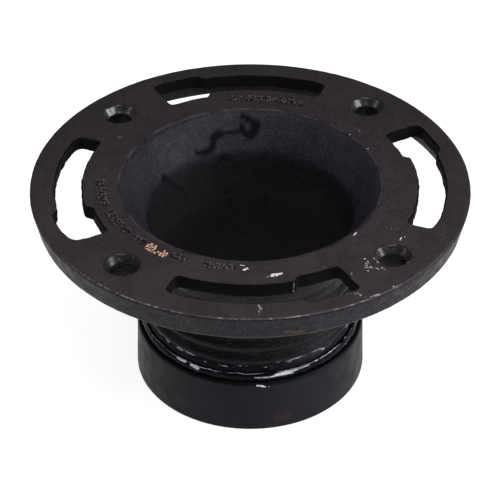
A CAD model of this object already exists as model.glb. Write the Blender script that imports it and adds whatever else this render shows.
"""Looks of the toilet flange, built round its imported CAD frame.

Shapes are worked out in millimetres, with +Z up and the origin at the centre of the gasket's
foot, and turned into metres as each mesh is made. Angles run anticlockwise from +X.
"""

import math

import bmesh
import bpy
import numpy as np
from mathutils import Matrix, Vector, noise


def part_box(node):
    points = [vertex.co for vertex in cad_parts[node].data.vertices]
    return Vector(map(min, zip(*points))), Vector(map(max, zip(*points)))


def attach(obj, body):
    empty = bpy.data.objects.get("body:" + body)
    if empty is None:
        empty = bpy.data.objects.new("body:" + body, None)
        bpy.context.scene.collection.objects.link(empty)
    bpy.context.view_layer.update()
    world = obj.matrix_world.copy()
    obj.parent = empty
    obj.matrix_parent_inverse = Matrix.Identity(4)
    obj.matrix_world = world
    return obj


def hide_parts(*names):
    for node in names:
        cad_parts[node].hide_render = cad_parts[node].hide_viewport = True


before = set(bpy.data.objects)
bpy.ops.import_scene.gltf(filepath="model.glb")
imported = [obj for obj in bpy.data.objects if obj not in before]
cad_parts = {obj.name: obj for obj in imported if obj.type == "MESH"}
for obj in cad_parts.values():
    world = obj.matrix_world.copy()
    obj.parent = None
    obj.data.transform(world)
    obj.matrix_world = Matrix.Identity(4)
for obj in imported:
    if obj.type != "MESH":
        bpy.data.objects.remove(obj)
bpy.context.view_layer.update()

MM = 0.001

# Sizes from the frame
cast_low, cast_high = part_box("flange_casting")
sleeve_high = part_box("gasket_sleeve")[1]
bead_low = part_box("sealant_bead")[0]
TOP_Z = cast_high.z / MM
FLANGE_R = cast_high.x / MM
NECK_FOOT_Z = cast_low.z / MM
GASKET_FOOT_R = sleeve_high.x / MM
GASKET_TOP_Z = sleeve_high.z / MM
BEAD_FOOT_Z = bead_low.z / MM

# Sizes of the casting, close to those of the CAD model
RIM_FOOT_R = FLANGE_R - 2.3
RIM_DEPTH = 11
RIM_FOOT_Z = TOP_Z - RIM_DEPTH
RIM_INNER_R = FLANGE_R - 5.6
PLATE_DEPTH = 5.8
PLATE_Z = TOP_Z - PLATE_DEPTH
SLOT_HALF_ANGLE = 27.5
SLOT_INNER_R = 68.2
SLOT_OUTER_R = 78.8
KEY_INNER_R = 65.4
KEY_OUTER_R = 81.3
KEY_START_ANGLE = 11.0
KEY_STEP_ANGLE = 2.5
HOLE_CIRCLE_R = 73.9
HOLE_R = 4.8
COUNTERSINK_R = 6.9
COUNTERSINK_DEPTH = 3.1
BOSS_R = 10.5
MOUTH_R = 52.3
MOUTH_LIP_R = 53.6
BORE_R = 39.2
FLARE_Z = TOP_Z - 36
FLARE_POWER = 2.3
THROAT_Z = 76.0
THROAT_R = 42.5
THROAT_DEPTH = 23.0
FUNNEL_POWER = 1.22
WALL = 4.8
SPIGOT_R = 43.8
RIB_R = 44.6
RIB_GROOVE_R = 42.6
RIB_COUNT = 4
RIB_PITCH = 6.6
FIRST_RIB_Z = 32.9
GASKET_SHOULDER_R = GASKET_FOOT_R - 0.7
GASKET_BORE_R = SPIGOT_R + 0.3
GASKET_STOP_R = 40.5
GASKET_STOP_Z = 3.0

# Fineness of the meshes
COLUMNS = 400
FINE_COLUMNS = 420
BLOCK_INNER_R = 64.0
BLOCK_OUTER_R = 82.6
BLOCK_STEPS = 18
SLOT_BLOCK_COLUMNS = 33
HOLE_BLOCK_COLUMNS = 10
LIP_ROWS = 4

# Light
FLOOR_GLOW = 0.88
FOOT_GLOW = 0.12
WORLD_STRENGTH = 0.14


# ---- small geometry helpers

def polar(radius, angle):
    """A point in plan, from its radius and its angle in degrees."""
    a = math.radians(angle)
    return np.array([radius * math.cos(a), radius * math.sin(a)])


class Profile:
    """A section as (radius, height) points, drawn by a pen that goes from place to place.

    Each stretch leaves the point that it ends at to the next one.
    """

    def __init__(self, radius, height):
        self.points = []
        self.pen = np.array((radius, height), float)

    def draw(self, end, steps, place_at):
        """Adds place_at(t) for t from 0 towards 1 and moves the pen to the end."""
        self.points += [tuple(place_at(k / steps)) for k in range(steps)]
        self.pen = np.array(end, float)

    def line(self, radius, height, steps):
        """A straight stretch."""
        start, span = self.pen, (radius, height) - self.pen
        self.draw((radius, height), steps, lambda t: start + span * t)

    def bend(self, corner, end, steps):
        """A parabola that heads for corner and ends at end."""
        first, middle, last = self.pen, np.array(corner), np.array(end)

        def place_at(t):
            return first * (1 - t) ** 2 + middle * 2 * t * (1 - t) + last * t * t

        self.draw(end, steps, place_at)

    def follow(self, radius_at, end_height, steps):
        """A stretch whose radius is a function of its height."""
        start_height = self.pen[1]

        def place_at(t):
            z = start_height + (end_height - start_height) * t
            return radius_at(z), z

        self.draw(place_at(1), steps, place_at)


def smooth_step(low, high, value):
    t = np.clip((value - low) / (high - low), 0, 1)
    return t * t * (3 - 2 * t)


def grain(point, size, seed=0.0):
    """Smooth noise from -1 to 1 that changes over about size millimetres."""
    return noise.noise(Vector(point) / size + Vector((seed, seed * 1.7, seed * 0.6)))


class Surface:
    """Vertices, faces and how rough each vertex is, gathered before a mesh is made."""

    def __init__(self):
        self.points = []
        self.faces = []
        self.rough = []

    def add(self, x, y, z, rough=1.0):
        self.points.append((x, y, z))
        self.rough.append(rough)
        return len(self.points) - 1

    def bridge(self, first, second):
        """Quads between two closed loops of vertices of the same length."""
        for i in range(len(first)):
            j = (i + 1) % len(first)
            self.faces.append((first[i], first[j], second[j], second[i]))

    def mesh(self, name):
        """The mesh in metres, with its faces turned outwards."""
        data = bpy.data.meshes.new(name)
        data.from_pydata((np.array(self.points) * MM).tolist(), [], self.faces)
        data.validate()
        work = bmesh.new()
        work.from_mesh(data)
        bmesh.ops.recalc_face_normals(work, faces=work.faces)
        work.to_mesh(data)
        work.free()
        data.update()
        return data


def turned_rows(surface, profile, columns):
    """Rows of vertices, one for each (radius, height) point, turned about Z."""
    rows = []
    for radius, height in profile:
        plan = (polar(radius, 360 * c / columns) for c in range(columns))
        rows.append([surface.add(x, y, height) for x, y in plan])
    return rows


# ---- casting: profile

def waterway_radius(z):
    """The inside: a funnel down to a soft crease at the throat, then a taper into the bore."""
    if z >= THROAT_Z:
        rise = (z - THROAT_Z) / (TOP_Z - THROAT_Z)
        return THROAT_R + (MOUTH_R - THROAT_R) * rise ** FUNNEL_POWER
    fall = min((THROAT_Z - z) / THROAT_DEPTH, 1)
    return THROAT_R + (BORE_R - THROAT_R) * fall


def flare_radius(z):
    """The outside, which flares from the neck up to the plate."""
    rise = max((z - FLARE_Z) / (TOP_Z - FLARE_Z), 0)
    return BORE_R + WALL + (MOUTH_R - BORE_R) * rise ** FLARE_POWER


def rib_radius(z):
    wave = 0.5 + 0.5 * math.cos(2 * math.pi * (z - FIRST_RIB_Z) / RIB_PITCH)
    return RIB_GROOVE_R + (RIB_R - RIB_GROOVE_R) * wave ** 0.8


def casting_profile():
    """The casting's section, anticlockwise, and the rows where the plate's faces begin.

    Returns the points, the first row of the plate's underside block and the first row of
    its top block. The underside runs outwards and the top runs inwards.
    """
    neck_r = BORE_R + WALL
    ribs_low = FIRST_RIB_Z - RIB_PITCH / 2
    ribs_high = FIRST_RIB_Z + (RIB_COUNT - 0.5) * RIB_PITCH
    flare_low = TOP_Z - 28
    flare_high = PLATE_Z - 2.4
    flare_r = flare_radius(flare_high)
    funnel_top = TOP_Z - 1.2
    funnel_end = THROAT_Z - THROAT_DEPTH
    chamfer = 1.4
    top_round = 1.0
    block_step = (BLOCK_OUTER_R - BLOCK_INNER_R) / BLOCK_STEPS

    section = Profile(BORE_R + 0.4, NECK_FOOT_Z)
    section.line(SPIGOT_R - chamfer, NECK_FOOT_Z, 3)
    section.line(SPIGOT_R, NECK_FOOT_Z + chamfer, 2)
    section.line(SPIGOT_R, ribs_low - chamfer, 8)
    section.line(RIB_GROOVE_R, ribs_low, 2)
    section.follow(rib_radius, ribs_high, 9 * RIB_COUNT)
    section.bend((neck_r, ribs_high + 0.4), (neck_r, ribs_high + 2), 2)
    section.line(neck_r, flare_low, 6)
    section.follow(flare_radius, flare_high, 14)
    section.bend((flare_r + 1.6, PLATE_Z), (flare_r + 6, PLATE_Z), 4)

    section.line(BLOCK_INNER_R, PLATE_Z, 5)
    under_row = len(section.points)
    section.line(BLOCK_OUTER_R, PLATE_Z, BLOCK_STEPS)
    section.bend((RIM_INNER_R - 0.6, PLATE_Z), (RIM_INNER_R - 0.4, PLATE_Z - 1.6), 2)
    section.line(RIM_INNER_R, RIM_FOOT_Z + 0.3, 2)
    section.bend((RIM_INNER_R, RIM_FOOT_Z), (RIM_INNER_R + 0.5, RIM_FOOT_Z), 2)
    section.line(RIM_FOOT_R - 0.6, RIM_FOOT_Z, 2)
    section.bend((RIM_FOOT_R, RIM_FOOT_Z), (RIM_FOOT_R + 0.1, RIM_FOOT_Z + 0.6), 3)
    section.line(FLANGE_R, TOP_Z - top_round, 10)
    section.bend((FLANGE_R, TOP_Z), (FLANGE_R - top_round, TOP_Z), 4)

    section.line(BLOCK_OUTER_R + LIP_ROWS * block_step, TOP_Z, 1)
    section.line(BLOCK_OUTER_R, TOP_Z, LIP_ROWS)
    top_row = len(section.points)
    section.line(BLOCK_INNER_R, TOP_Z, BLOCK_STEPS)
    section.line(MOUTH_LIP_R + 0.8, TOP_Z, 13)
    section.bend((MOUTH_LIP_R - 0.5, TOP_Z), (waterway_radius(funnel_top), funnel_top), 5)
    section.follow(waterway_radius, funnel_end, 30)
    section.line(BORE_R, NECK_FOOT_Z + 0.4, 22)
    section.line(BORE_R + 0.4, NECK_FOOT_Z, 1)
    return section.points, under_row, top_row


# ---- casting: slots and holes

def block_loop(rows, inner, outer, middle, half):
    """The vertices round a block of a turned grid, from its inner row's first column on.

    inner and outer are row numbers, middle and half are in columns. The loop runs along the
    inner row, out along the last column, back along the outer row and in again.
    """
    def at(row, column):
        return rows[row][(middle + column) % COLUMNS]

    step = 1 if outer > inner else -1
    radial = list(range(inner, outer, step))
    loop = [at(inner, c) for c in range(-half, half)]
    loop += [at(r, half) for r in radial]
    loop += [at(outer, -c) for c in range(-half, half)]
    loop += [at(r + step, -half) for r in reversed(radial)]
    return loop


def keyhole_outline(corner_softness):
    """A slot's outline as points in plan, anticlockwise as block_loop lists them.

    corner_softness is the rounding of the inner and the outer corners at the narrow end,
    then of the inner and the outer corners at the wide end.
    """
    around, out = 2 * SLOT_BLOCK_COLUMNS, BLOCK_STEPS

    def side(angles, narrow_r, wide_r):
        share = smooth_step(KEY_START_ANGLE, KEY_START_ANGLE + KEY_STEP_ANGLE, angles)
        return [polar(r, a) for r, a in zip(narrow_r + (wide_r - narrow_r) * share, angles)]

    def end(angle, first_r, last_r):
        return [polar(r, angle) for r in np.linspace(first_r, last_r, out + 1)[:-1]]

    angles = np.linspace(-SLOT_HALF_ANGLE, SLOT_HALF_ANGLE, around + 1)
    points = side(angles[:-1], SLOT_INNER_R, KEY_INNER_R)
    points += end(SLOT_HALF_ANGLE, KEY_INNER_R, KEY_OUTER_R)
    points += side(angles[:0:-1], SLOT_OUTER_R, KEY_OUTER_R)
    points += end(-SLOT_HALF_ANGLE, SLOT_OUTER_R, SLOT_INNER_R)
    points = np.array(points)

    corners = (0, 2 * around + out, around, around + out)
    count = len(points)
    for corner, softness in zip(corners, corner_softness):
        index = (corner + np.arange(-softness, softness + 1)) % count
        for _ in range(softness ** 2 // 3):
            before, after = points[(index - 1) % count], points[(index + 1) % count]
            points[index] = 0.5 * points[index] + 0.25 * (before + after)
    return points


def outward(points):
    """Unit normals of a closed outline in plan, pointing away from its inside."""
    along = np.roll(points, -1, 0) - np.roll(points, 1, 0)
    normal = np.stack([along[:, 1], -along[:, 0]], 1)
    normal /= np.linalg.norm(normal, axis=1)[:, None]
    spread = ((points - points.mean(0)) * normal).sum()
    return normal if spread > 0 else -normal


def at_height(plan, z):
    return np.column_stack([plan, np.full(len(plan), z)])


def sections(surface, loop, outlines, rough):
    """Quads from a loop of vertices through lists of 3-D points. Returns the last loop."""
    for outline in outlines:
        ring = [surface.add(*p, rough) for p in outline]
        surface.bridge(loop, ring)
        loop = ring
    return loop


def patch(surface, loop, target, rings):
    """Rings of quads from a loop of vertices to target points. Returns the last ring."""
    start = np.array([surface.points[i] for i in loop])
    outlines = [start + (target - start) * k / rings for k in range(1, rings + 1)]
    return sections(surface, loop, outlines, 1.0)


def wobbly(outline, size, amount, seed):
    """The outline with an uneven cast edge."""
    shift = [amount * grain((p[0], p[1], 0), size, seed) for p in outline]
    return outline + outward(outline) * np.array(shift)[:, None]


# How rough the walls of slots and holes are cast, where the faces are 1
WALL_ROUGH = 2.0
# How far each slot's corners are rounded, in vertices: inner and outer at the narrow end,
# then inner and outer at the wide end
CORNER_SOFTNESS = [(3, 8, 3, 6), (4, 7, 3, 4), (3, 10, 3, 12), (5, 7, 4, 4)]
# A slot's wall from top to bottom, as (height, how far it stands back from the outline)
SLOT_WALL = [
    (TOP_Z - 0.10, 0.38),
    (TOP_Z - 0.35, 0.12),
    (TOP_Z - 0.80, 0.0),
    (TOP_Z - 0.35 * PLATE_DEPTH, 0.05),
    (TOP_Z - 0.55 * PLATE_DEPTH, 0.12),
    (TOP_Z - 0.75 * PLATE_DEPTH, 0.05),
    (PLATE_Z + 0.6, 0.05),
    (PLATE_Z + 0.15, 0.25),
    (PLATE_Z, 0.7),
]


def cut_slot(surface, rows, under_row, top_row, number):
    """Replaces a block of the plate by a keyhole slot with a rounded, uneven edge."""
    middle = COLUMNS * number // 4
    top = block_loop(rows, top_row + BLOCK_STEPS, top_row, middle, SLOT_BLOCK_COLUMNS)
    under = block_loop(rows, under_row, under_row + BLOCK_STEPS, middle, SLOT_BLOCK_COLUMNS)
    outline = keyhole_outline(CORNER_SOFTNESS[number])
    turn = math.radians(90 * number)
    spin = np.array([[math.cos(turn), math.sin(turn)], [-math.sin(turn), math.cos(turn)]])
    outline = wobbly(outline @ spin, 4.0, 0.28, number + 1)
    outline = wobbly(outline, 1.6, 0.18, number + 7)
    away = outward(outline)

    def ring(z, offset):
        return at_height(outline + away * offset, z)

    loop = patch(surface, top, ring(TOP_Z, 0.75), 4)
    wall = [ring(z, offset) for z, offset in SLOT_WALL]
    loop = sections(surface, loop, wall, 1.1 * WALL_ROUGH)
    bottom = patch(surface, under, ring(PLATE_Z, 0.9), 3)
    surface.bridge(loop, bottom)


def cut_hole(surface, rows, under_row, top_row, number):
    """Replaces a block of the plate by a countersunk screw hole with a boss under it."""
    middle = COLUMNS * (2 * number + 1) // 8
    last = under_row + BLOCK_STEPS + LIP_ROWS
    top = block_loop(rows, top_row + BLOCK_STEPS, top_row - LIP_ROWS, middle, HOLE_BLOCK_COLUMNS)
    under = block_loop(rows, under_row, last, middle, HOLE_BLOCK_COLUMNS)
    centre = polar(HOLE_CIRCLE_R, 90 * number + 45)

    edge = np.array([surface.points[i][:2] for i in top]) - centre
    rays = edge / np.linalg.norm(edge, axis=1)[:, None]
    ragged = np.array([grain((r[0] * 5, r[1] * 5, number * 9), 3.0, 4) for r in rays])

    def ring(z, radius, unevenness=0.0):
        return at_height(centre + rays * (radius + unevenness * ragged)[:, None], z)

    slope = (COUNTERSINK_R - HOLE_R) / COUNTERSINK_DEPTH
    wall = [(0.08, COUNTERSINK_R + 0.3, 0.4), (0.28, COUNTERSINK_R, 0.4)]
    for drop in (0.6, 1.1, 1.7, 2.3, 2.8):
        wall.append((drop, COUNTERSINK_R - slope * drop + 0.15, 0.4))
    for drop in (3.2, 4.0, 5.5, 7.5, 9.5):
        wall.append((drop, HOLE_R, 0.25))
    wall += [(RIM_DEPTH - 0.3, HOLE_R + 0.1, 0.0), (RIM_DEPTH, HOLE_R + 0.5, 0.0)]
    loop = patch(surface, top, ring(TOP_Z, COUNTERSINK_R + 0.7, 0.4), 3)
    rings = [ring(TOP_Z - drop, radius, unevenness) for drop, radius, unevenness in wall]
    loop = sections(surface, loop, rings, WALL_ROUGH)

    start = np.array([surface.points[i] for i in under])
    reach = np.linalg.norm(start[:, :2] - centre, axis=1)
    aim = (start[:, :2] - centre) / reach[:, None]

    def boss(radius, share, z):
        r = np.minimum(radius, reach * share)
        return np.column_stack([centre + aim * r[:, None], z])

    low = start[:, 2]
    level = np.full(len(start), RIM_FOOT_Z)
    skirt = sections(surface, under, [
        boss(BOSS_R + 1.4, 0.97, low),
        boss(BOSS_R + 0.5, 0.94, low * 0.8 + level * 0.2),
        boss(BOSS_R, 0.91, np.minimum(low, level + 0.6)),
        boss(BOSS_R - 0.6, 0.86, level),
    ], 1.0)
    bottom = patch(surface, skirt, ring(RIM_FOOT_Z, HOLE_R + 1.3), 3)
    surface.bridge(loop, bottom)


def casting_surface():
    """The whole casting as one closed surface of quads."""
    profile, under_row, top_row = casting_profile()
    surface = Surface()
    rows = turned_rows(surface, profile, COLUMNS)

    def in_block(k, c, first_middle, half, lip):
        """Whether a quad lies in one of four blocks that a slot or a hole is cut into."""
        under = under_row <= k < under_row + BLOCK_STEPS + lip
        top = top_row - lip <= k < top_row + BLOCK_STEPS
        return (under or top) and (c - first_middle + half) % (COLUMNS // 4) < 2 * half

    for k, row in enumerate(rows):
        above = rows[(k + 1) % len(rows)]
        for c in range(COLUMNS):
            if (in_block(k, c, 0, SLOT_BLOCK_COLUMNS, 0)
                    or in_block(k, c, COLUMNS // 8, HOLE_BLOCK_COLUMNS, LIP_ROWS)):
                continue
            d = (c + 1) % COLUMNS
            surface.faces.append((row[c], row[d], above[d], above[c]))
    for n in range(4):
        cut_slot(surface, rows, under_row, top_row, n)
        cut_hole(surface, rows, under_row, top_row, n)
    return surface


# ---- casting: unevenness and marks

def distance_to_path(points, path):
    """The distance of each point from a path given as (radius, angle, height) corners."""
    corners = [np.append(polar(r, angle), z) for r, angle, z in path]
    if len(corners) == 1:
        return np.linalg.norm(points - corners[0], axis=1)
    nearest = np.full(len(points), np.inf)
    for start, end in zip(corners, corners[1:]):
        span = end - start
        t = np.clip((points - start) @ span / (span @ span), 0, 1)
        nearest = np.minimum(nearest, np.linalg.norm(points - start - t[:, None] * span, axis=1))
    return nearest


def stroke_strength(points, strokes):
    """How strongly a list of (half width, path) strokes covers each point, from 0 to 1."""
    strength = np.zeros(len(points))
    for half_width, path in strokes:
        edge = distance_to_path(points, path) / half_width
        strength = np.maximum(strength, 1 - smooth_step(0.5, 1.4, edge))
    return strength


def stroke_attributes(points, named_strokes):
    """The attribute that each named list of strokes makes."""
    return {name: stroke_strength(points, strokes) for name, strokes in named_strokes.items()}


def laid(strokes, point):
    """Strokes with each point of their paths turned into (radius, angle, height)."""
    return [(half_width, [point(*p) for p in path]) for half_width, path in strokes]


def on_top(strokes):
    """Strokes given by radius and angle, laid on the top face."""
    return laid(strokes, lambda radius, angle: (radius, angle, TOP_Z))


def on_waterway(strokes):
    """Strokes given by angle and height, laid on the inside of the casting."""
    return laid(strokes, lambda angle, z: (waterway_radius(z), angle, z))


def small_ring(radius, angle, size):
    """A closed path of the given size round a point of the top face."""
    centre = polar(radius, angle)
    path = []
    for k in range(9):
        x, y = centre + size * polar(1, 45 * k) * (1, 0.8)
        path.append((math.hypot(x, y), math.degrees(math.atan2(y, x))))
    return path


# Strokes are (half width, path). A path's points are (radius, angle, height), or only the
# two of these that on_top and on_waterway need.
PAINT_RUNS = on_waterway([
    (1.5, [(90.0, 88.9), (86.9, 87.5), (83.8, 86.1)]),
    (2.1, [(83.8, 86.1), (84.4, 83.8), (87.0, 82.4)]),
    (1.3, [(87.4, 82.2), (90.0, 83.4), (91.0, 85.5)]),
    (0.7, [(90.0, 83.3), (95.1, 84.0), (101.5, 83.8)]),
    (1.9, [(102.5, 83.7), (104.7, 83.4), (106.4, 82.3)]),
    (1.3, [(106.4, 82.3), (107.6, 79.6), (110.0, 78.6)]),
    (1.7, [(109.4, 78.9), (113.4, 78.4)]),
    (1.0, [(113.4, 78.4), (117.7, 79.2)]),
    (2.2, [(102.0, 74.6), (98.9, 73.8)]),
    (1.9, [(144.6, 76.3), (140.6, 73.4)]),
    (1.1, [(140.6, 73.4), (137.0, 70.0), (131.5, 66.5)]),
    (0.8, [(131.5, 66.5), (127.0, 61.0)]),
    (0.9, [(102.5, 59.4), (101.8, 58.2)]),
    (0.9, [(99.4, 53.8), (98.8, 52.6)]),
    (1.0, [(77.6, 55.6), (76.6, 53.8)]),
])
PALE_MARKS = on_top([
    (0.8, [(58.9, -95.8), (57.8, -94.2)]),
    (0.5, [(56.2, -97.4), (55.6, -95.6)]),
    (0.4, [(57.6, -98.4)]),
    (1.2, [(62.6, -85.4), (62.3, -82.4)]),
    (0.5, [(63.4, -87.6), (62.6, -85.4)]),
    (0.55, [(67.2, -53.4), (67.8, -52.4)]),
    (0.5, [(69.8, -54.2), (71.0, -53.6)]),
    (0.7, [(74.0, -55.6), (75.0, -55.3)]),
    (0.6, [(73.2, -53.8)]),
    (0.55, [(75.9, -52.8), (76.6, -52.0)]),
    (0.5, small_ring(71.0, -36.2, 1.3)[:6]),
    (0.5, [(54.1, -43), (54.6, -45.5)]),
    (0.5, [(63.4, -66.7)]),
    (0.5, [(72.1, -60.8)]),
]) + [
    (0.5, [(53.9, 22.5, TOP_Z - 0.3)]),
    (0.7, [(87.6, -55.4, TOP_Z - 0.1), (87.6, -54.6, TOP_Z - 0.1)]),
]
NECK_SMEARS = [
    (1.3, [(44.4, -178, 28.8), (43.8, -160, 29.6), (43.8, -140, 29.8), (43.6, -118, 29.6)]),
    (1.7, [(44.4, -156, 32.0), (44.4, -138, 31.6), (44.4, -124, 31.4)]),
    (1.3, [(43.6, -110, 29.4), (43.6, -80, 29.4), (43.6, -50, 29.6), (43.8, -20, 29.6)]),
    (2.0, [(44.4, -78, 30.6), (44.4, -56, 31.4), (44.4, -34, 31.0)]),
]
GREY_SCUFFS = on_top([
    (0.7, [(81.6, -66.8), (83.7, -64.1), (85.8, -63.7), (87.4, -62.6)]),
    (0.7, [(87.4, -62.6), (88.0, -61.0), (88.3, -59.2)]),
    (1.1, [(80.8, -91.0), (82.4, -90.6), (85.0, -90.9)]),
    (0.6, [(64.0, -33), (66.5, -32)]),
    (0.7, [(65.8, 141.0)]),
    (0.6, [(63.0, 147.0), (62.4, 145.6)]),
    (0.9, [(70.0, -52.5), (72.5, -55.5), (77.4, -51.5)]),
    (0.4, small_ring(73.9, -45, 8.2)[4:8]),
    (0.9, [(53.4, 36)]),
    (0.7, [(58.1, 35.6)]),
    (0.7, [(64.9, 30)]),
    (0.8, [(53.4, 134)]),
]) + [
    (0.7, [(68.2, -78.8, TOP_Z - 0.4), (68.2, -78.8, PLATE_Z + 0.4)]),
    (0.5, [(79.0, 101.2, TOP_Z - 0.4), (79.0, 101.2, PLATE_Z + 0.4)]),
]
RUST_SPOTS = on_top([
    (1.2, [(60.0, 82), (62.0, 78)]),
    (2.0, [(57.5, 40), (59.5, 33)]),
]) + [
    (1.6, [(88.0, -84.5, 82.6), (87.6, -80.5, 81.6)]),
    (0.8, [(88.3, -79.4, 85.4)]),
]

# How glossy the coat is in each screw hole, anticlockwise from the back right one
HOLE_SHINE = [0.7, 1.0, 0.4, 0.6]
# Arcs of cast marks on the top face, as (radius, angle) at their ends
MARK_ARCS = [
    ((60.8, 176), (60.0, 192)),
    ((59.6, 198), (59.0, 212)),
    ((58.6, 217), (58.2, 221)),
    ((58.0, 236), (57.6, 241)),
    ((58.0, 250), (57.6, 260)),
    ((60.6, 66), (61.2, 94)),
]


def around_marks():
    """Strokes that cover the arcs of cast marks, where dirt gathers."""
    half_width = 2.3
    strokes = []
    for (first_r, first), (last_r, last) in MARK_ARCS:
        middle = ((first_r + last_r) / 2, (first + last) / 2)
        strokes.append((half_width, [(first_r, first), middle, (last_r, last)]))
    return on_top(strokes)


CAST_STROKES = {
    "run": PAINT_RUNS,
    "pale": PALE_MARKS,
    "smear": NECK_SMEARS,
    "scuff": GREY_SCUFFS,
    "rust": RUST_SPOTS,
    "dirt": around_marks(),
}


def casting_attributes(points):
    """What the paint needs to know about each point of the casting, each from 0 to 1."""
    x, y, z = points.T
    radius = np.hypot(x, y)
    angle = np.degrees(np.arctan2(y, x))
    ground = smooth_step(TOP_Z - 0.5, TOP_Z - 0.05, z) * smooth_step(53.0, 54.5, radius)
    waterway = np.array([waterway_radius(h) for h in z])
    inside = 1 - smooth_step(0.25, 0.8, np.abs(radius - waterway))
    inside = inside * (z < TOP_Z - 0.4)
    sunk = np.zeros(len(points))
    glossy = np.zeros(len(points))
    for n, shine in enumerate(HOLE_SHINE):
        cx, cy = polar(HOLE_CIRCLE_R, 90 * n + 45)
        reach = np.hypot(x - cx, y - cy)
        in_hole = 1 - smooth_step(COUNTERSINK_R - 0.2, COUNTERSINK_R + 0.9, reach)
        sunk = np.maximum(sunk, in_hole)
        glossy = np.maximum(glossy, in_hole * shine)
    neck = (radius > waterway + 1.5) * (1 - smooth_step(RIM_FOOT_Z - 3, RIM_FOOT_Z, z))
    above_ribs = 0.5 + 0.5 * np.sin(2 * math.pi * (z - FIRST_RIB_Z) / RIB_PITCH)
    attributes = stroke_attributes(points, CAST_STROKES)
    attributes["run"] *= inside * (0.6 + 0.4 * smooth_step(THROAT_Z - 3, THROAT_Z + 1, z))
    attributes.update({
        "ground": ground,
        "inside": inside,
        "coated": 0.55 * smooth_step(-80, 90, y),
        "neck": neck * (0.3 + 0.7 * above_ribs),
        "screw_hole": sunk,
        "hole_gloss": glossy * smooth_step(TOP_Z - 4.0, TOP_Z - 3.2, z) * (1 - ground * 0.5),
        "front": 1 - smooth_step(16, 75, np.abs(angle + 97)),
    })
    return attributes


def set_attributes(data, attributes):
    for name, values in attributes.items():
        layer = data.attributes.new(name, "FLOAT", "POINT")
        layer.data.foreach_set("value", np.asarray(values, np.float32))


def swell(data, depth_at):
    """Moves each vertex along its normal by depth_at(place, number), all in millimetres."""
    count = len(data.vertices)
    places = np.empty(count * 3, np.float32)
    normals = np.empty(count * 3, np.float32)
    data.vertices.foreach_get("co", places)
    data.vertex_normals.foreach_get("vector", normals)
    places = places.reshape(-1, 3) / MM
    normals = normals.reshape(-1, 3)
    depths = np.array([depth_at(place, number) for number, place in enumerate(places.tolist())])
    places += normals * depths[:, None]
    data.vertices.foreach_set("co", (places * MM).ravel())
    data.update()


# Unevenness of the casting, as (size, depth, seed)
CAST_WAVES = [(9.0, 0.10, 1), (3.2, 0.07, 5), (1.5, 0.05, 9)]
RUN_THICKNESS = 0.3


def cast_depth(rough, attributes):
    """How far sand and paint move each point of the casting out."""
    share = np.array(rough) * (1 - 0.65 * attributes["ground"])
    run = attributes["run"]

    def depth(place, number):
        waves = sum(depth * grain(place, size, seed) for size, depth, seed in CAST_WAVES)
        return waves * share[number] + RUN_THICKNESS * run[number]

    return depth


# ---- making objects

# The angle in degrees between two faces from which their edge stays sharp
SHARP_ANGLE = 50


def new_object(name, data):
    """An object in the scene."""
    obj = bpy.data.objects.new(name, data)
    bpy.context.scene.collection.objects.link(obj)
    return obj


def make_piece(name, surface, material, node=None, attributes=None, depth_at=None):
    """A piece that rides on the part, and stands for its CAD node where it has one."""
    data = surface.mesh(name)
    set_attributes(data, attributes or {})
    if depth_at:
        swell(data, depth_at)
    data.materials.append(material)
    data.shade_smooth()
    data.set_sharp_from_angle(angle=math.radians(SHARP_ANGLE))
    obj = new_object(name, data)
    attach(obj, "root")
    if node:
        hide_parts(node)


# ---- materials

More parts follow.
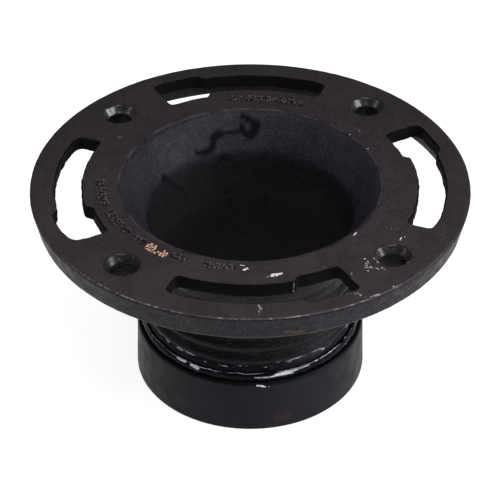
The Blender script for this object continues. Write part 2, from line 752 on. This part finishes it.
class Nodes:
    """A material's node tree, with one call for each node it needs."""

    def __init__(self, name):
        self.material = bpy.data.materials.new(name)
        self.material.use_nodes = True
        self.tree = self.material.node_tree
        self.shader = self.tree.nodes["Principled BSDF"]
        self.place = self.tree.nodes.new("ShaderNodeTexCoord").outputs["Object"]
        self.color = None

    def link(self, value, socket):
        """Feeds a socket with another node's output, a colour or a plain value."""
        if isinstance(value, bpy.types.NodeSocket):
            self.tree.links.new(value, socket)
        elif socket.type == "RGBA":
            socket.default_value = (*value, 1)
        else:
            socket.default_value = value

    def add(self, kind, inputs, output=0, **settings):
        """The output of a new node. inputs are socket names or numbers, and their values."""
        node = self.tree.nodes.new("ShaderNode" + kind)
        for name, value in settings.items():
            setattr(node, name, value)
        for name, value in inputs.items():
            self.link(value, node.inputs[name])
        return node.outputs[output]

    def stretched(self, x, y, z):
        """The place on the object, scaled along each axis."""
        return self.add("VectorMath", {0: self.place, 1: (x, y, z)}, operation="MULTIPLY")

    def axis(self, name):
        """The place along one axis, in millimetres."""
        return self.math("DIVIDE", self.add("SeparateXYZ", {0: self.place}, name), MM)

    def attribute(self, name):
        return self.add("Attribute", {}, "Fac", attribute_name=name)

    def noise(self, size, detail, seed, place=None, distortion=0.0):
        """Noise from 0 to 1 with features about size millimetres across."""
        inputs = {"Vector": place or self.place, "W": seed, "Scale": 1 / (size * MM),
                  "Detail": detail, "Distortion": distortion}
        return self.add("TexNoise", inputs, "Fac", noise_dimensions="4D")

    def drawn_out(self, size, detail, seed, along, up, distortion=0.0):
        """Noise with its features drawn out, scaled by along in plan and by up in height."""
        return self.noise(size, detail, seed, self.stretched(along, along, up), distortion)

    def cells(self, size, seed):
        """The distance from the centre of cells about size millimetres across."""
        inputs = {"Vector": self.place, "W": seed, "Scale": 1 / (size * MM)}
        return self.add("TexVoronoi", inputs, "Distance", voronoi_dimensions="4D")

    def math(self, operation, first, second=0.0):
        return self.add("Math", {0: first, 1: second}, operation=operation)

    def times(self, first, second):
        return self.math("MULTIPLY", first, second)

    def length(self, first, second):
        """The length of a way that goes first along one axis and second across it."""
        squares = self.math("ADD", self.times(first, first), self.times(second, second))
        return self.math("SQRT", squares)

    def axis_distance(self, radius):
        """The distance in millimetres from an upright cylinder round Z."""
        out = self.math("SUBTRACT", self.length(self.axis("X"), self.axis("Y")), radius)
        return self.math("ABSOLUTE", out)

    def ring_distance(self, radius, height):
        """The distance in millimetres from a level circle round Z."""
        up = self.math("SUBTRACT", self.axis("Z"), height)
        return self.length(self.axis_distance(radius), up)

    def spread(self, value, low, high, out_low=0.0, out_high=1.0):
        """A value smoothly carried from the range low to high onto another range."""
        inputs = {"Value": value, "From Min": low, "From Max": high,
                  "To Min": out_low, "To Max": out_high}
        return self.add("MapRange", inputs, "Result", interpolation_type="SMOOTHSTEP")

    def fade(self, value, low, high):
        """1 where a value is under low, falling to 0 where it reaches high."""
        return self.spread(value, low, high, 1.0, 0.0)

    def blend(self, factor, first, second, kind="FLOAT"):
        """A number between two numbers."""
        inputs = {"Factor": factor, "A": first, "B": second}
        return self.add("Mix", inputs, "Result", data_type=kind)

    def mix(self, factor, first, second):
        """A colour between two colours."""
        return self.blend(factor, first, second, "RGBA")

    def broken(self, attribute, texture, low, high):
        """An attribute's strength broken up by a texture into patches with ragged edges."""
        return self.spread(self.times(self.attribute(attribute), texture), low, high)

    def paint(self, color, cover, share=1.0):
        """Lays a colour over the colour so far where cover is 1, hiding that share of it."""
        self.color = self.mix(self.times(cover, share), self.color, color)

    def bumps(self, *layers):
        """A normal bumped by (height, depth, strength) layers.

        A layer is depth millimetres deep for a height from 0 to 1.
        """
        normal = {}
        for height, depth, strength in layers:
            inputs = {"Height": height, "Distance": depth * MM, "Strength": strength, **normal}
            normal = {"Normal": self.add("Bump", inputs)}
        return normal["Normal"]

    def finish(self, roughness, normal, **inputs):
        """Feeds the shader. inputs are socket names, with _ for a space, and their values."""
        inputs.update(Base_Color=self.color, Roughness=roughness, Normal=normal)
        for name, value in inputs.items():
            self.link(value, self.shader.inputs[name.replace("_", " ")])
        return self.material


# Colours, as linear red, green and blue. Pairs are the darker and the lighter shade.
CAST_COAT = ((0.0057, 0.0047, 0.0068), (0.0094, 0.0078, 0.0110))
GROUND_COAT = ((0.0285, 0.0236, 0.0257), (0.0400, 0.0326, 0.0352))
FUNNEL_COAT = ((0.0112, 0.0101, 0.0150), (0.0192, 0.0172, 0.0250))
BORE_COAT = ((0.0065, 0.0060, 0.0075), (0.0110, 0.0104, 0.0125))
DEEP_BORE = (0.012, 0.0113, 0.0137)
THICK_COAT = (0.011, 0.0095, 0.0112)
NECK_COAT = (0.0014, 0.0012, 0.0016)
SLOT_COAT = (0.0012, 0.0010, 0.0014)
RUN_COAT = (0.0010, 0.0010, 0.0016)
HOLE_THROAT = (0.0030, 0.0025, 0.0034)
HOLE_CONE = (0.0105, 0.0087, 0.0111)
SAND_SPECKLE = (0.042, 0.040, 0.046)
LAP_STREAK = (0.036, 0.031, 0.033)
PIT = (0.009, 0.008, 0.009)
GLINT = (0.11, 0.105, 0.11)
BROWN_STAIN = (0.030, 0.020, 0.016)
DIRT = (0.0060, 0.0050, 0.0058)
LIP_WEAR = (0.075, 0.069, 0.078)
EDGE_WEAR = (0.27, 0.25, 0.26)
FOOT_WEAR = (0.07, 0.067, 0.07)
RUST = (0.12, 0.062, 0.024)
PIP_WEAR = (0.16, 0.15, 0.155)
GREY_SCUFF = (0.34, 0.32, 0.32)
NECK_SMEAR = (0.34, 0.36, 0.41)
BARE_IRON = (0.72, 0.70, 0.71)
RUBBER = ((0.0073, 0.0064, 0.0086), (0.0112, 0.0097, 0.0130))
RUBBER_FLOW = (0.018, 0.017, 0.019)
RUBBER_MOUTH = (0.0022, 0.0018, 0.0020)
RUBBER_DUST = (0.06, 0.057, 0.055)
RUBBER_RUST = (0.075, 0.045, 0.018)
RUBBER_FLECK = (0.62, 0.63, 0.68)
SEALANT = ((0.0012, 0.0014, 0.0024), (0.003, 0.0045, 0.010))
SEALANT_STREAK = (0.10, 0.12, 0.18)
SEALANT_THREAD = (0.40, 0.42, 0.50)
SEALANT_SMEAR = (0.60, 0.61, 0.66)
SEALANT_FILM = (0.30, 0.33, 0.42)
PRIMER = ((0.03, 0.022, 0.02), (0.62, 0.37, 0.27))
FLOOR = ((0.32, 0.32, 0.32), (0.34, 0.34, 0.34))
SPECULAR_TINT = (0.95, 0.87, 1.0)


def paint_coat(nodes, sand, lap):
    """The coat: ground on top, sandy inside, and darkest on the neck and in the openings."""
    height = nodes.axis("Z")
    ground = nodes.attribute("ground")
    inside = nodes.attribute("inside")
    neck = nodes.attribute("neck")
    cloud = nodes.spread(nodes.noise(14, 4, seed=1), 0.35, 0.65)
    top = nodes.mix(nodes.attribute("coated"), nodes.mix(cloud, *GROUND_COAT), THICK_COAT)
    nodes.color = nodes.mix(cloud, *CAST_COAT)
    nodes.paint(top, ground)

    bore = nodes.mix(nodes.spread(nodes.noise(5, 4, seed=9), 0.4, 0.7), *BORE_COAT)
    bore = nodes.mix(nodes.fade(height, THROAT_Z - 22, THROAT_Z - 2), bore, DEEP_BORE)
    ragged = nodes.math("ADD", height, nodes.times(nodes.noise(2.8, 5, seed=10), 3.0))
    deep = nodes.fade(ragged, THROAT_Z - 2.6, THROAT_Z + 4.6)
    nodes.paint(nodes.mix(deep, nodes.mix(cloud, *FUNNEL_COAT), bore), inside)
    nodes.paint(NECK_COAT, neck, 0.95)

    hidden = nodes.math("MAXIMUM", nodes.times(deep, inside), neck)
    lit = nodes.math("SUBTRACT", 1.0, hidden)
    nodes.paint(SAND_SPECKLE, nodes.spread(sand, 0.46, 0.70, 0.0, 0.7), lit)
    nodes.paint(LAP_STREAK, nodes.spread(lap, 0.48, 0.72), 0.5)
    nodes.paint(PIT, nodes.spread(nodes.noise(1.1, 3, seed=5), 0.56, 0.68), 0.5)
    glints = nodes.spread(nodes.noise(0.7, 2, seed=16), 0.68, 0.76, 0.0, 0.7)
    nodes.paint(GLINT, glints, lit)
    stain = nodes.spread(nodes.noise(22, 5, seed=6), 0.58, 0.74, 0.0, 0.4)
    nodes.paint(BROWN_STAIN, stain, ground)

    nodes.paint(SLOT_COAT, nodes.attribute("slot_wall"), 0.97)
    cone = nodes.spread(height, TOP_Z - 4.2, TOP_Z - 3.2)
    nodes.paint(nodes.mix(cone, HOLE_THROAT, HOLE_CONE), nodes.attribute("screw_hole"), 0.92)
    nodes.paint(RUN_COAT, nodes.attribute("run"), 0.97)


def paint_wear(nodes):
    """Worn edges, dirt, rust, scuffs and smears on the coat."""
    lip = nodes.fade(nodes.ring_distance(MOUTH_LIP_R - 0.4, TOP_Z - 0.2), 0.1, 1.0)
    lip = nodes.times(lip, nodes.spread(nodes.noise(6, 3, seed=11), 0.35, 0.65, 0.1, 1.0))
    nodes.paint(LIP_WEAR, lip, 0.6)
    edge = nodes.fade(nodes.ring_distance(FLANGE_R - 0.4, TOP_Z - 0.25), 0.1, 0.42)
    chipped = nodes.spread(nodes.noise(2.4, 5, seed=12), 0.46, 0.62, 0.12, 1.0)
    edge = nodes.times(nodes.times(edge, chipped), nodes.attribute("front"))
    nodes.paint(EDGE_WEAR, edge, 0.75)
    foot = nodes.fade(nodes.ring_distance(RIM_FOOT_R, RIM_FOOT_Z + 0.3), 0.15, 0.55)
    nodes.paint(FOOT_WEAR, foot, 0.6)

    rust = nodes.broken("rust", nodes.noise(1.2, 4, seed=13), 0.315, 0.4125)
    nodes.paint(RUST, rust, nodes.spread(nodes.attribute("ground"), 0, 1, 0.3, 0.1))
    dirt = nodes.broken("dirt", nodes.noise(1.3, 4, seed=19), 0.34, 0.56)
    nodes.paint(DIRT, dirt, 0.75)
    tip = nodes.spread(nodes.axis("Z"), TOP_Z + 0.22, TOP_Z + 0.5, 0.0, 0.55)
    nodes.paint(PIP_WEAR, tip, nodes.noise(1.5, 3, seed=18))
    scuff = nodes.broken("scuff", nodes.noise(0.8, 4, seed=14), 0.39, 0.51)
    nodes.paint(GREY_SCUFF, scuff, 0.8)
    smear = nodes.broken("smear", nodes.drawn_out(1.5, 5, 17, 0.4, 1.6), 0.50, 0.60)
    nodes.paint(NECK_SMEAR, smear)
    pale = nodes.broken("pale", nodes.noise(0.9, 4, seed=15), 0.345, 0.465)
    nodes.paint(BARE_IRON, pale)


def cast_iron_paint():
    """Black coated cast iron: ground on top, sandy inside, with runs, chips and rust."""
    nodes = Nodes("cast_iron_black_coat")
    sand = nodes.noise(0.6, 3, seed=2)
    lap = nodes.noise(0.5, 3, place=nodes.stretched(0.12, 1.0, 1.0), seed=4)
    paint_coat(nodes, sand, lap)
    paint_wear(nodes)

    wall = nodes.attribute("slot_wall")
    rough = nodes.spread(nodes.noise(3, 4, seed=7), 0.3, 0.7, 0.40, 0.58)
    rough = nodes.blend(wall, rough, 0.9)
    rough = nodes.blend(nodes.attribute("run"), rough, 0.85)
    dents = nodes.noise(1.5, 3, seed=8)
    grains = nodes.bumps(
        (sand, 0.2, nodes.spread(nodes.attribute("inside"), 0, 1, 0.4, 0.9)),
        (nodes.cells(0.9, seed=3), 0.08, 0.4),
        (lap, 0.05, 0.35),
        (dents, 0.7, nodes.times(nodes.attribute("screw_hole"), 0.9)),
        (dents, 0.5, nodes.times(wall, 0.6)),
    )
    return nodes.finish(rough, grains, Specular_IOR_Level=0.10,
                        Specular_Tint=SPECULAR_TINT, Coat_Roughness=0.28,
                        Coat_Weight=nodes.attribute("hole_gloss"))


def copper_marks():
    """The same black coat, rubbed off the pips to a coppery primer."""
    nodes = Nodes("cast_iron_rubbed_marks")
    wear = nodes.noise(0.9, 4, seed=51)
    nodes.color = nodes.mix(nodes.spread(wear, 0.38, 0.48), *PRIMER)
    rough = nodes.spread(wear, 0.3, 0.7, 0.5, 0.35)
    return nodes.finish(rough, nodes.bumps((wear, 0.08, 0.5)), Specular_IOR_Level=0.4)


def gasket_rubber():
    """Moulded black rubber: satin, with faint flow lines, dust and a rusty smear at the foot."""
    nodes = Nodes("gasket_black_rubber")
    flow = nodes.drawn_out(2.2, 3, 22, 0.25, 1.6)
    nodes.color = nodes.mix(nodes.spread(nodes.noise(18, 4, seed=21), 0.3, 0.7), *RUBBER)
    nodes.paint(RUBBER_FLOW, nodes.spread(flow, 0.5, 0.8), 0.35)
    mouth = nodes.spread(nodes.axis("Z"), GASKET_TOP_Z - 1.5, GASKET_TOP_Z - 0.7)
    nodes.paint(RUBBER_MOUTH, mouth)
    nodes.paint(RUBBER_DUST, nodes.spread(nodes.noise(0.8, 2, seed=23), 0.70, 0.80), 0.2)
    rust = nodes.broken("rust", nodes.noise(2.0, 4, seed=24), 0.315, 0.4125)
    nodes.paint(RUBBER_RUST, rust, 0.13)
    pale = nodes.broken("pale", nodes.noise(0.8, 4, seed=27), 0.345, 0.45)
    nodes.paint(RUBBER_FLECK, pale)
    rough = nodes.spread(nodes.noise(5, 4, seed=25), 0.3, 0.7, 0.40, 0.55)
    fine = nodes.bumps((nodes.noise(0.35, 3, seed=26), 0.03, 0.35), (flow, 0.04, 0.3))
    return nodes.finish(rough, fine, Specular_IOR_Level=0.09, Specular_Tint=SPECULAR_TINT)


def wet_sealant():
    """Glossy blue-black lubricant or sealant with pale smears in it."""
    nodes = Nodes("sealant_glossy_smear")
    swirl = nodes.drawn_out(3.0, 4, 31, 0.5, 1.6, distortion=1.5)
    nodes.color = nodes.mix(nodes.spread(swirl, 0.35, 0.7), *SEALANT)
    streak = nodes.spread(nodes.drawn_out(1.6, 5, 34, 0.35, 2.0), 0.60, 0.68)
    nodes.paint(SEALANT_STREAK, streak, 0.35)
    thread = nodes.fade(nodes.axis_distance(SPIGOT_R + 1.2), 0.06, 0.24)
    thread = nodes.times(thread, nodes.spread(nodes.noise(6, 4, seed=35), 0.42, 0.55))
    nodes.paint(SEALANT_THREAD, thread, 0.8)
    smear = nodes.broken("pale", nodes.drawn_out(1.3, 5, 32, 0.3, 1.8), 0.30, 0.52)
    nodes.paint(SEALANT_SMEAR, smear)
    film = nodes.broken("smear", nodes.drawn_out(1.1, 5, 36, 0.35, 2.2), 0.48, 0.60)
    nodes.paint(SEALANT_FILM, film)
    rough = nodes.spread(nodes.noise(2, 3, seed=33), 0.3, 0.7, 0.10, 0.28)
    return nodes.finish(rough, nodes.bumps((swirl, 0.25, 0.6)), Specular_IOR_Level=0.06)


def pale_floor():
    """A matt white table that glows, except where the part's foot covers it."""
    nodes = Nodes("floor_white")
    cloud = nodes.noise(120, 3, seed=41)
    nodes.color = nodes.mix(cloud, *FLOOR)
    rough = nodes.spread(cloud, 0.3, 0.7, 0.85, 0.9)
    fine = nodes.bumps((nodes.noise(4, 2, seed=42), 0.02, 0.2))
    from_middle = nodes.ring_distance(0, 0)
    glow = nodes.spread(from_middle, GASKET_BORE_R, GASKET_FOOT_R, FOOT_GLOW, FLOOR_GLOW)
    return nodes.finish(rough, fine, Specular_IOR_Level=0.1, Emission_Color=(1, 1, 1),
                        Emission_Strength=glow)


# ---- pieces

def make_casting(material):
    surface = casting_surface()
    attributes = casting_attributes(np.array(surface.points))
    walls = smooth_step(1.2, 2.0, np.array(surface.rough))
    attributes["slot_wall"] = walls * (1 - attributes["screw_hole"])
    make_piece("flange_casting_fine", surface, material, "flange_casting",
               attributes, cast_depth(surface.rough, attributes))


PIP_SIDES = 10
# A pip's section, as (share of its radius, share of its height)
PIP_PROFILE = [(0.75, -0.35), (1.0, -0.2), (1.0, 0.25), (0.82, 0.7), (0.45, 0.95)]


def add_pip(surface, plan, size, height):
    """A small rounded boss, sunk into the top face."""
    rings = []
    for share, level in PIP_PROFILE:
        edge = [plan + size * share * polar(1, 360 * k / PIP_SIDES) for k in range(PIP_SIDES)]
        rings.append([surface.add(x, y, TOP_Z + height * level) for x, y in edge])
    for low, high in zip(rings, rings[1:]):
        surface.bridge(low, high)
    surface.faces.append(tuple(reversed(rings[0])))
    crown = surface.add(*plan, TOP_Z + height)
    last = rings[-1]
    for k in range(PIP_SIDES):
        surface.faces.append((last[k], last[(k + 1) % PIP_SIDES], crown))


MARK_STEP_ANGLE = 1.3
RUBBED_ANGLES = (224.0, 234.0)
RUBBED_R = 58.8


def make_marks(material):
    """Plain cast pips in place of lettering, in clusters along arcs of the top face."""
    surface = Surface()
    chance = np.random.default_rng(7)
    for (first_r, first), (last_r, last) in MARK_ARCS:
        steps = max(1, round((last - first) / MARK_STEP_ANGLE))
        for k in range(steps + 1):
            angle = first + (last - first) * k / steps
            radius = first_r + (last_r - first_r) * k / steps
            for row in (-1.3, 0.0, 1.3):
                if chance.random() < 0.22:
                    continue
                plan = polar(radius + row + chance.normal(0, 0.14), angle + chance.normal(0, 0.2))
                add_pip(surface, plan, chance.uniform(0.55, 0.80), chance.uniform(0.45, 0.70))
    attributes = casting_attributes(np.array(surface.points))
    make_piece("cast_marks", surface, material, attributes=attributes)


def make_rubbed_marks(material):
    """A short patch of the same pips with the coat rubbed off their tops."""
    surface = Surface()
    chance = np.random.default_rng(11)
    for angle in np.arange(*RUBBED_ANGLES, 1.15):
        for share in np.linspace(-1, 1, 4):
            if chance.random() < 0.2:
                continue
            plan = polar(RUBBED_R + 1.7 * share, angle + 0.45 * share + chance.normal(0, 0.1))
            add_pip(surface, plan, chance.uniform(0.48, 0.62), chance.uniform(0.3, 0.45))
    make_piece("rubbed_marks", surface, material)


# A rusty smear near the sleeve's foot, and pale flecks of sealant on its shoulder
GASKET_STROKES = {
    "rust": [(3.0, [(48.1, -79, 4.5), (48.1, -75.5, 5.5)])],
    "pale": [
        (0.7, [(47.6, -89.6, 23.1), (47.6, -88.0, 22.9), (47.6, -86.0, 22.2)]),
        (0.5, [(47.4, -84, 22.0)]),
    ],
}


def make_gasket(material):
    """The rubber sleeve, with a stop lip inside its foot and a rolled mouth."""
    foot_r, shoulder_r = GASKET_FOOT_R, GASKET_SHOULDER_R
    bore_r, stop_r = GASKET_BORE_R, GASKET_STOP_R
    top, stop_z = GASKET_TOP_Z, GASKET_STOP_Z
    round_r = 1.7
    small_r = 0.5
    section = Profile(stop_r + small_r, 0)
    section.line(foot_r - 0.8, 0, 8)
    section.bend((foot_r, 0), (foot_r, 0.8), 4)
    section.line(shoulder_r, top - round_r, 32)
    section.bend((shoulder_r, top), (shoulder_r - round_r, top), 6)
    section.line(bore_r + 0.6, top, 4)
    section.bend((bore_r, top), (bore_r, top - 0.6), 3)
    section.line(bore_r, stop_z + 0.4, 14)
    section.bend((bore_r, stop_z), (bore_r - 0.4, stop_z), 3)
    section.line(stop_r + small_r, stop_z, 4)
    section.bend((stop_r, stop_z), (stop_r, stop_z - small_r), 3)
    section.line(stop_r, small_r, 3)
    section.bend((stop_r, 0), (stop_r + small_r, 0), 3)
    surface = Surface()
    rows = turned_rows(surface, section.points, FINE_COLUMNS)
    for k, row in enumerate(rows):
        surface.bridge(rows[(k + 1) % len(rows)], row)
    attributes = stroke_attributes(np.array(surface.points), GASKET_STROKES)
    make_piece("gasket_sleeve_fine", surface, material, "gasket_sleeve",
               attributes, lambda place, number: 0.05 * grain(place, 14, 3))


# Pale smears on the sealant and near it
SEALANT_SMEARS = [
    (0.7, [(46.0, -91, 26.2), (46.2, -84, 26.0), (46.2, -79, 26.2)]),
    (1.2, [(46.2, -80, 26.2), (46.2, -74, 26.5), (46.0, -69, 26.8)]),
    (0.8, [(46.0, -69, 26.8), (45.8, -63, 27.1), (45.6, -56, 27.4)]),
    (0.5, [(45.6, -56, 27.4), (45.4, -40, 27.7), (45.2, -24, 27.9)]),
    (1.2, [(45.4, -134, 27.4), (45.4, -129.5, 27.2)]),
    (1.1, [(45.6, -125, 26.8), (45.8, -121, 26.6)]),
    (0.8, [(45.4, -120, 27.4), (45.2, -114, 27.6)]),
    (0.8, [(45.0, -152, 28), (45.0, -144, 28)]),
    (0.8, [(44.6, -112, 28.4), (44.6, -100, 28.4)]),
    (0.9, [(44.8, -58, 28.2), (44.8, -50, 28.2)]),
    (0.7, [(44.8, -44, 28.2), (44.8, -36, 28.2), (44.8, -24, 28.2)]),
    (0.7, [(44.8, -176, 28.2), (44.8, -162, 28.2)]),
]


# The bead's width and height, as its least, what fullness adds and what lumps add
BEAD_WIDTH = (2.0, 0.55, 0.22)
BEAD_HEIGHT = (1.9, 1.3, 0.5)
# How deep it reaches between the neck and the sleeve
BEAD_SUNK = 0.7


def make_sealant(material):
    """The squeezed-out bead between the neck and the sleeve's mouth, uneven all round."""
    columns = FINE_COLUMNS
    steps_round = 14
    surface = Surface()
    inner_r = SPIGOT_R - 0.2
    loops = []
    for c in range(columns):
        angle = 360 * c / columns
        place = (*polar(45, angle), 0)
        fullness = 0.5 + 0.5 * grain(place, 9, 2)
        lump = grain(place, 3.2, 6)
        width, height = (least + full * fullness + lumpy * lump
                         for least, full, lumpy in (BEAD_WIDTH, BEAD_HEIGHT))
        loop = []
        for k in range(steps_round):
            turn = 2 * math.pi * k / steps_round
            across = 0.5 - 0.5 * math.cos(turn)
            up = math.sin(turn)
            r = inner_r + width * across ** 0.85
            z = BEAD_FOOT_Z + 0.4 + (height * up if up > 0 else BEAD_SUNK * up)
            x, y = polar(r, angle)
            loop.append(surface.add(x, y, z))
        loops.append(loop)
    for c in range(columns):
        surface.bridge(loops[c], loops[(c + 1) % columns])
    strokes = {"pale": SEALANT_SMEARS, "smear": NECK_SMEARS}
    attributes = stroke_attributes(np.array(surface.points), strokes)
    make_piece("sealant_bead_fine", surface, material, "sealant_bead",
               attributes, lambda place, number: 0.16 * grain(place, 1.7, 8))


# ---- stage

CAMERA_TURN = 3.2
CAMERA_RISE = 37.07
CAMERA_DISTANCE = 0.9228
CAMERA_LENS = 160.75
CAMERA_AIM = Vector((-0.00008, 0.00001, 0.05625))
LIGHT_AIM = Vector((0, 0, 0.05))
FLOOR_HALF = 8.0
FLOOR_DROP = 0.0002
# Softboxes, as (name, place, width, height, power)
SOFTBOXES = [
    ("softbox_above", (0.1, -0.75, 1.6), 0.8, 0.8, 17),
    ("softbox_right", (1.25, -0.3, 0.66), 0.65, 0.55, 14),
    ("softbox_right_low", (1.2, -0.75, 0.28), 0.35, 0.5, 3),
    ("softbox_left", (-1.3, -0.05, 0.9), 0.5, 0.5, 3.4),
]


def make_camera():
    turn, rise = math.radians(CAMERA_TURN), math.radians(CAMERA_RISE)
    level = math.cos(rise)
    towards = Vector((-math.sin(turn) * level, -math.cos(turn) * level, math.sin(rise)))
    camera = new_object("camera", bpy.data.cameras.new("camera"))
    camera.data.lens = CAMERA_LENS
    camera.data.sensor_width = 36
    camera.location = CAMERA_AIM + towards * CAMERA_DISTANCE
    camera.rotation_euler = (-towards).to_track_quat("-Z", "Y").to_euler()
    bpy.context.scene.camera = camera


def make_softbox(name, place, width, height, power):
    """A soft light that faces the middle of the part."""
    light = bpy.data.lights.new(name, "AREA")
    light.shape = "RECTANGLE"
    light.size = width
    light.size_y = height
    light.energy = power
    lamp = new_object(name, light)
    lamp.location = place
    lamp.rotation_euler = (LIGHT_AIM - Vector(place)).to_track_quat("-Z", "Y").to_euler()


def make_stage():
    half = FLOOR_HALF
    corners = [(-half, -half, 0), (half, -half, 0), (half, half, 0), (-half, half, 0)]
    data = bpy.data.meshes.new("floor")
    data.from_pydata(corners, [], [(0, 1, 2, 3)])
    data.materials.append(pale_floor())
    floor = new_object("floor", data)
    floor.location.z = -FLOOR_DROP

    world = bpy.data.worlds.new("studio")
    world.use_nodes = True
    backdrop = world.node_tree.nodes["Background"]
    backdrop.inputs["Color"].default_value = (0.98, 0.98, 1.0, 1)
    backdrop.inputs["Strength"].default_value = WORLD_STRENGTH
    bpy.context.scene.world = world
    for softbox in SOFTBOXES:
        make_softbox(*softbox)
    bpy.context.scene.view_settings.view_transform = "Standard"


coat = cast_iron_paint()
make_casting(coat)
make_marks(coat)
make_rubbed_marks(copper_marks())
make_gasket(gasket_rubber())
make_sealant(wet_sealant())
make_stage()
make_camera()
